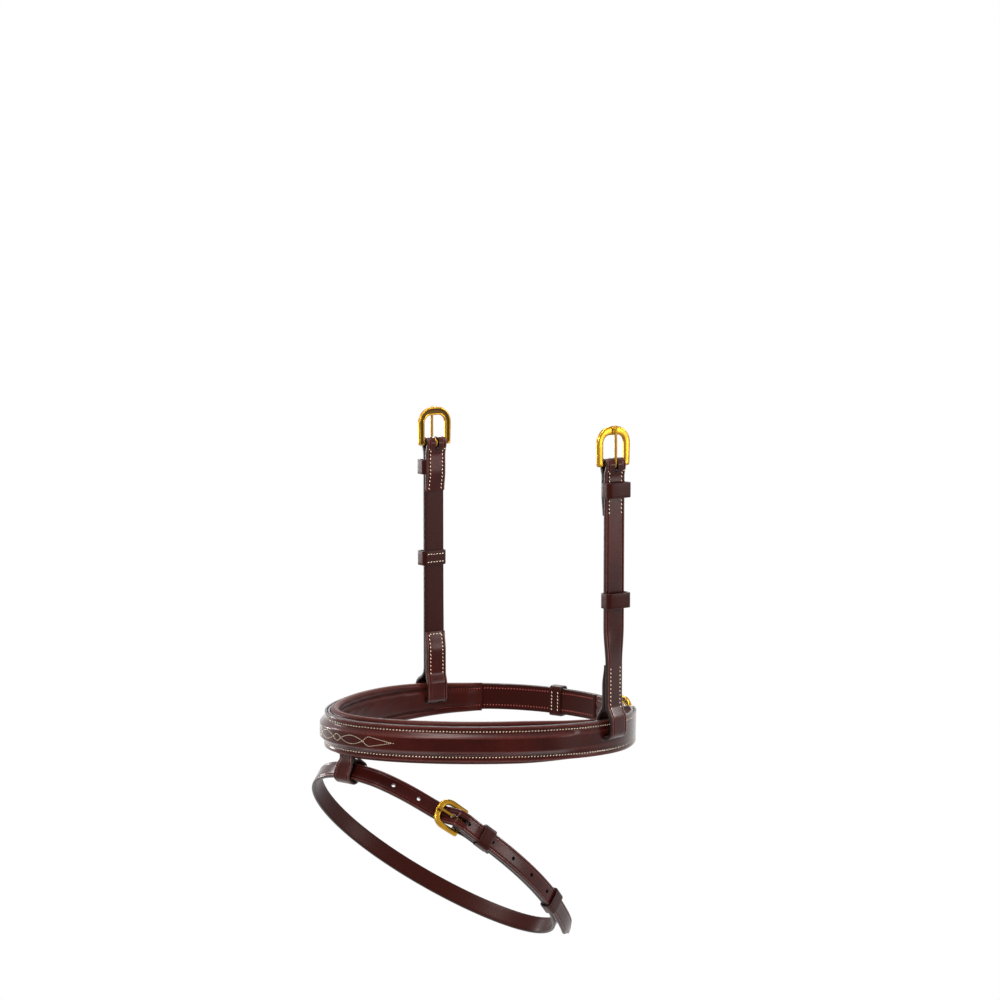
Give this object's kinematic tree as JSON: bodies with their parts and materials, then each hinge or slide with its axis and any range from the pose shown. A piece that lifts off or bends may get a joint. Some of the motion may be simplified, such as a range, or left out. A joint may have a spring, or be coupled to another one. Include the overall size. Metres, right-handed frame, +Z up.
{
  "type": "flash noseband",
  "caption": "Padded, raised bridle noseband with a flash strap on a front loop, jaw strap, and cheek straps with buckles and keepers.",
  "frame": {"origin": "centre of the opening for the horse's nose, at the middle of the noseband's height", "axes": "+Z up along the cheek straps, -Y towards the front of the nose, +X to the horse's near (left) side"},
  "size_m": [0.1968, 0.2253, 0.349],
  "materials": {
    "leather": "satin",
    "lining": "matte",
    "foam": "matte",
    "brass": "polished"
  },
  "bodies": {
    "noseband": {"noseband_face": "leather", "noseband_backing": "leather", "raise_core": "foam", "padding_lining": "lining", "padding_foam": "foam", "flash_loop": "leather"},
    "near_cheek": {"near_cheek_strap": "leather", "near_fixed_keeper": "leather"},
    "near_buckle": {"near_buckle_frame": "brass"},
    "near_tongue": {"near_buckle_tongue": "brass"},
    "near_runner": {"near_runner": "leather"},
    "off_cheek": {"off_cheek_strap": "leather", "off_fixed_keeper": "leather"},
    "off_buckle": {"off_buckle_frame": "brass"},
    "off_tongue": {"off_buckle_tongue": "brass"},
    "off_runner": {"off_runner": "leather"},
    "flash": {"flash_strap": "leather", "flash_fixed_keeper": "leather"},
    "flash_buckle": {"flash_buckle_frame": "brass"},
    "flash_tongue": {"flash_buckle_tongue": "brass"},
    "flash_runner": {"flash_runner": "leather"},
    "rear_buckle": {"rear_buckle_frame": "brass"},
    "rear_tongue": {"rear_buckle_tongue": "brass"},
    "rear_runner": {"rear_runner": "leather"}
  },
  "joints": [
    {"name": "near_cheek_swing", "type": "hinge", "parent": "noseband", "child": "near_cheek", "pos_m": [0.08942, 0.04725, -0.00124], "axis": [-0.2592, 0.9655, -0.0253], "range_deg": [-3, 3]},
    {"name": "near_buckle_swivel", "type": "hinge", "parent": "near_cheek", "child": "near_buckle", "pos_m": [0.09069, 0.04759, 0.17876], "axis": [0, 1, 0], "range_deg": [-45, 45]},
    {"name": "near_tongue_lift", "type": "hinge", "parent": "near_buckle", "child": "near_tongue", "pos_m": [0.09069, 0.04759, 0.17876], "axis": [0, 1, 0], "range_deg": [0, 55]},
    {"name": "near_runner_slide", "type": "slide", "parent": "near_cheek", "child": "near_runner", "axis": [0, 0, 1], "range_m": [-0.011, 0.05]},
    {"name": "off_cheek_swing", "type": "hinge", "parent": "noseband", "child": "off_cheek", "pos_m": [-0.09239, 0.02652, -0.00069], "axis": [-0.0297, -0.9992, 0.0262], "range_deg": [-3, 3]},
    {"name": "off_buckle_swivel", "type": "hinge", "parent": "off_cheek", "child": "off_buckle", "pos_m": [-0.0841, 0.02627, 0.17931], "axis": [0, -1, 0], "range_deg": [-45, 45]},
    {"name": "off_tongue_lift", "type": "hinge", "parent": "off_buckle", "child": "off_tongue", "pos_m": [-0.0841, 0.02627, 0.17931], "axis": [0, -1, 0], "range_deg": [0, 55]},
    {"name": "off_runner_slide", "type": "slide", "parent": "off_cheek", "child": "off_runner", "axis": [0, 0, 1], "range_m": [-0.02, 0.041]},
    {"name": "flash_swing", "type": "hinge", "parent": "noseband", "child": "flash", "pos_m": [0.00389, -0.10091, -0.02126], "axis": [0.9942, 0.1075, -0.0028], "range_deg": [-4, 4]},
    {"name": "flash_buckle_play", "type": "hinge", "parent": "flash", "child": "flash_buckle", "pos_m": [0.05613, -0.04968, -0.0532], "axis": [-0.2095, 0.6621, 0.7195], "range_deg": [-1.5, 1.5]},
    {"name": "flash_tongue_play", "type": "hinge", "parent": "flash_buckle", "child": "flash_tongue", "pos_m": [0.05613, -0.04968, -0.0532], "axis": [-0.2095, 0.6621, 0.7195], "range_deg": [0, 5]},
    {"name": "flash_runner_slide", "type": "hinge", "parent": "flash", "child": "flash_runner", "pos_m": [-0.01184, -0.01153, -0.10811], "axis": [-0.2095, 0.6621, 0.7195], "range_deg": [-4, 4]},
    {"name": "rear_buckle_play", "type": "hinge", "parent": "noseband", "child": "rear_buckle", "pos_m": [0.01541, 0.10677, -0.0028], "axis": [0, 0.0262, 0.9997], "range_deg": [-1.5, 1.5]},
    {"name": "rear_tongue_play", "type": "hinge", "parent": "rear_buckle", "child": "rear_tongue", "pos_m": [0.01541, 0.10677, -0.0028], "axis": [0, 0.0262, 0.9997], "range_deg": [0, 5]},
    {"name": "rear_runner_slide", "type": "hinge", "parent": "noseband", "child": "rear_runner", "pos_m": [-0.0039, 0.00927, -0.00024], "axis": [0, 0.0262, 0.9997], "range_deg": [-4, 4]}
  ]
}
